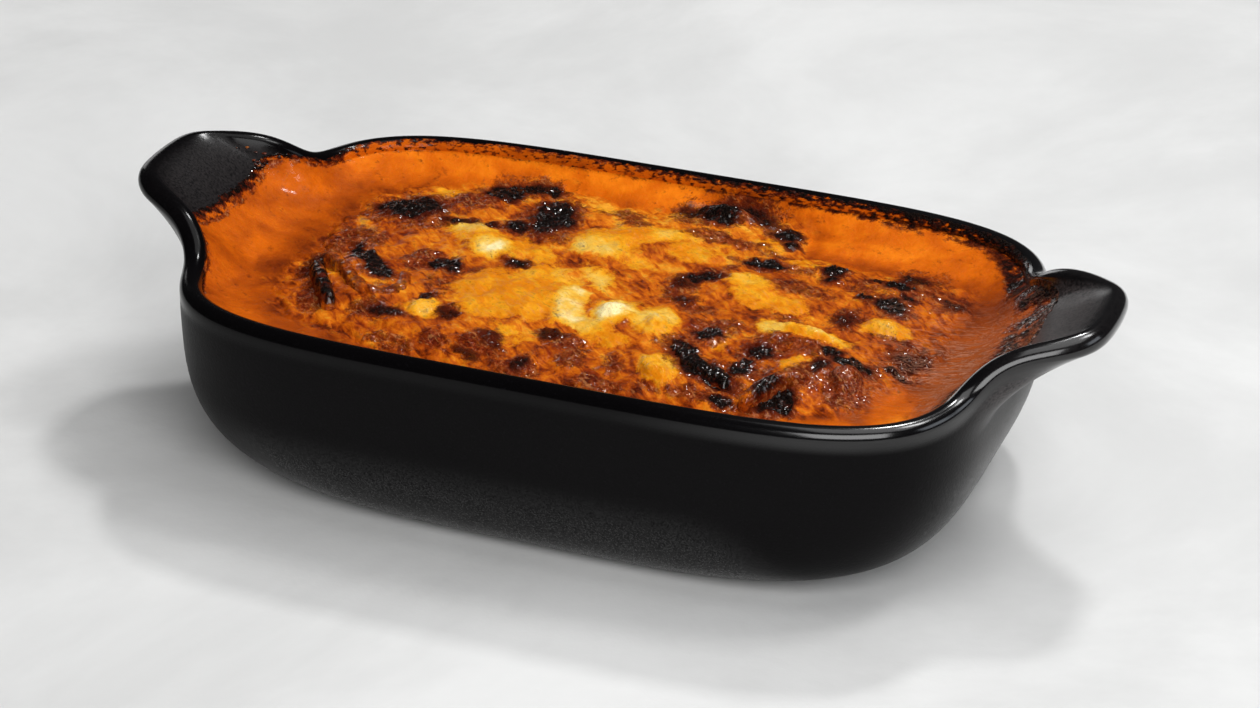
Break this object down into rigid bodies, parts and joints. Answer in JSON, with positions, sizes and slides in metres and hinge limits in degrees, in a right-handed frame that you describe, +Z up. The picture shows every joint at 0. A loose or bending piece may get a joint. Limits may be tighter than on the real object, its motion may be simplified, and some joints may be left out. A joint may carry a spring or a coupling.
{
  "type": "baked pasta dish",
  "caption": "Baked pasta in tomato sauce under browned cheese, in an oblong black stoneware gratin dish with an upswept ear at each end.",
  "frame": {"origin": "middle of the dish's flat resting face, at the bottom centre of the bounding box", "axes": "+X runs along the dish from ear to ear, +Y across it towards the back, +Z up"},
  "size_m": [0.2402, 0.1234, 0.0591],
  "materials": {
    "stoneware": "satin black glaze",
    "sauce": "glossy, stands in for oily tomato sauce",
    "bed": "uneven, stands in for pasta under a baked crust",
    "cheese": "soft sheen, stands in for melted cheese",
    "pasta": "soft sheen, stands in for browned pasta"
  },
  "bodies": {
    "root": {"dish": "stoneware", "sauce": "sauce", "pasta_bed": "bed", "cheese_centre_left": "cheese", "cheese_centre_right": "cheese", "cheese_left": "cheese", "cheese_back": "cheese", "cheese_ridge_right": "cheese", "cheese_patch_right": "cheese", "cheese_front": "cheese", "cheese_front_left": "cheese", "pasta_chunk_right": "pasta", "pasta_chunk_back": "pasta", "pasta_fold_left": "pasta", "pasta_edge_left": "pasta", "pasta_arch_right": "pasta", "crust_ridge_front": "pasta"}
  },
  "joints": []
}
